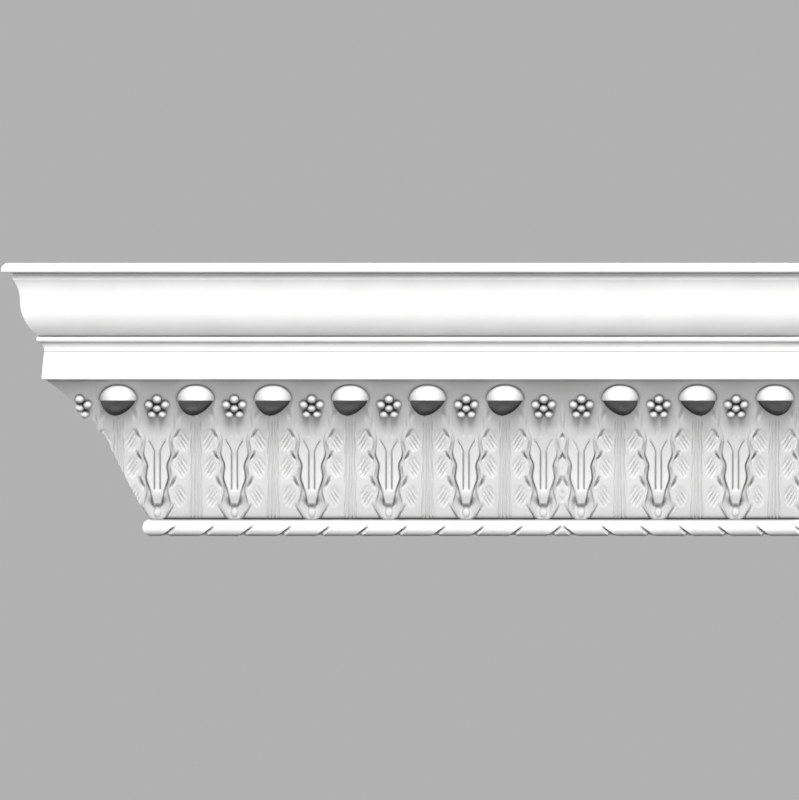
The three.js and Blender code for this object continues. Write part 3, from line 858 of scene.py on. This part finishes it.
def cut_faces(mesh):
    """Which faces lie on the square end or on the mitre."""
    normals = face_vectors(mesh, "normal")
    centres = face_vectors(mesh, "center")
    square = (normals[:, 0] > 0.999) & (centres[:, 0] > SQUARE_X - CUT_NEAR)
    over_mitre = centres[:, 0] - centres[:, 1] + HEEL_RUN
    mitre = (normals[:, 0] < -0.7) & (normals[:, 1] > 0.7) & (over_mitre < CUT_NEAR)
    return square | mitre


def finish_mesh(piece):
    """Smooth shading broken at real arrises, and the sawn finish on the two cut ends."""
    mesh = piece.data
    mesh.materials.clear()
    mesh.materials.append(primed_finish())
    mesh.materials.append(sawn_finish())
    cut = cut_faces(mesh)
    mesh.polygons.foreach_set("material_index", cut.astype(np.int32))
    mesh.polygons.foreach_set("use_smooth", np.ones(len(cut), dtype=bool))
    mesh.set_sharp_from_angle(angle=SHARP_ANGLE)
    for k in np.nonzero(cut)[0]:
        for corner in mesh.polygons[k].loop_indices:
            mesh.edges[mesh.loops[corner].edge_index].use_edge_sharp = True


def cornice():
    piece = plain_section()
    piece.name = "cornice"
    combine(piece, carved_sheet(), "UNION")
    combine(piece, rope_bead(), "UNION")
    combine(piece, at_leaves("hollows", hollow), "DIFFERENCE")
    combine(piece, at_leaves("hoods", lambda x, side: hood(x)), "UNION")
    for across, share in BERRIES:
        combine(piece, berries(across, share), "UNION")
    combine(piece, kept_length(), "INTERSECT")
    finish_mesh(piece)
    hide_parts(NODE)
    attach(piece, "root")


# Camera, at the photo's level frontal view: far off, so that nearly no perspective shows.
IMAGE_HEIGHT = 800
PIXEL = PITCH / 77.35
FRAME_CENTRE_X = -89.6 * MM
FRAME_CENTRE_Z = FOOT_Z + 74.9 * MM
FOCUS_P = 45 * MM
LENS = 1500
SENSOR = 36
CAMERA_REACH = 60


def place_camera():
    data = bpy.data.cameras.new("camera")
    data.lens = LENS
    data.sensor_width = SENSOR
    data.clip_end = CAMERA_REACH
    away = IMAGE_HEIGHT * PIXEL * LENS / SENSOR
    camera = bpy.data.objects.new("camera", data)
    camera.location = (FRAME_CENTRE_X, -FOCUS_P - away, FRAME_CENTRE_Z)
    camera.rotation_euler = (math.pi / 2, 0, 0)
    bpy.context.scene.collection.objects.link(camera)
    bpy.context.scene.camera = camera


def area_light(name, azimuth, elevation, away, size, power):
    """A square soft light that faces the middle of the moulding; azimuth is to the right of front."""
    data = bpy.data.lights.new(name, "AREA")
    data.shape = "SQUARE"
    data.size = size
    data.energy = power
    light = bpy.data.objects.new(name, data)
    a = math.radians(azimuth)
    e = math.radians(elevation)
    middle = (FRAME_CENTRE_X, -FOCUS_P, FRAME_CENTRE_Z)
    light.location = (
        middle[0] + away * math.sin(a) * math.cos(e),
        middle[1] - away * math.cos(a) * math.cos(e),
        middle[2] + away * math.sin(e),
    )
    light.rotation_euler = (math.pi / 2 - e, 0, a)
    bpy.context.scene.collection.objects.link(light)


# Area lights: degrees to the right of front, degrees up, metres away, metres wide, watts.
LIGHTS = {
    "key": (0, 30, 3.0, 1.0, 94),
    "fill": (0, 0, 3.0, 1.4, 41),
    "top_light": (0, 60, 3.0, 1.0, 26),
    "right_end_light": (105, 20, 3.0, 1.6, 45),
    "left_end_light": (-105, 20, 3.0, 1.6, 45),
    "back_key": (160, 40, 3.0, 2.0, 40),
}

# The studio around: what the camera sees behind the moulding, and a weak light that fades downwards.
BACKDROP = 0.440
WORLD_STRENGTH = 0.12
WORLD_DARKEST = 0.03
WORLD_FULL_AT = 0.35
FLOOR_DROP = 0.34
FLOOR_SIZE = 3.2
FLOOR_TONE = 0.5
FLOOR_ROUGHNESS = 0.9


def world_light():
    world = bpy.data.worlds.new("studio")
    world.use_nodes = True
    bpy.context.scene.world = world
    tree = world.node_tree
    nodes = tree.nodes
    nodes.clear()
    output = nodes.new("ShaderNodeOutputWorld")
    choose = nodes.new("ShaderNodeMixShader")
    seen = nodes.new("ShaderNodeBackground")
    seen.inputs["Color"].default_value = grey(BACKDROP)
    lit = nodes.new("ShaderNodeBackground")
    lit.inputs["Strength"].default_value = WORLD_STRENGTH
    path = nodes.new("ShaderNodeLightPath")
    place = nodes.new("ShaderNodeTexCoord")
    split = nodes.new("ShaderNodeSeparateXYZ")
    tree.links.new(place.outputs["Generated"], split.inputs["Vector"])
    sky = ramp(tree, split.outputs["Z"], 0, WORLD_FULL_AT, grey(WORLD_DARKEST), grey(1))
    tree.links.new(sky, lit.inputs["Color"])
    tree.links.new(path.outputs["Is Camera Ray"], choose.inputs["Fac"])
    tree.links.new(lit.outputs["Background"], choose.inputs[1])
    tree.links.new(seen.outputs["Background"], choose.inputs[2])
    tree.links.new(choose.outputs["Shader"], output.inputs["Surface"])


def floor():
    half = FLOOR_SIZE / 2
    z = FOOT_Z - FLOOR_DROP
    corners = [(FRAME_CENTRE_X + a * half, b * half, z) for a, b in ((-1, -1), (1, -1), (1, 1), (-1, 1))]
    ground = make_object("floor", corners, [(0, 1, 2, 3)])
    material = bpy.data.materials.new("floor")
    material.use_nodes = True
    shader = material.node_tree.nodes["Principled BSDF"]
    shader.inputs["Base Color"].default_value = grey(FLOOR_TONE)
    shader.inputs["Roughness"].default_value = FLOOR_ROUGHNESS
    ground.data.materials.append(material)
    ground.visible_diffuse = False


place_camera()
cornice()
for light_name, settings in LIGHTS.items():
    area_light(light_name, *settings)
world_light()
floor()
bpy.context.scene.view_settings.view_transform = "Standard"
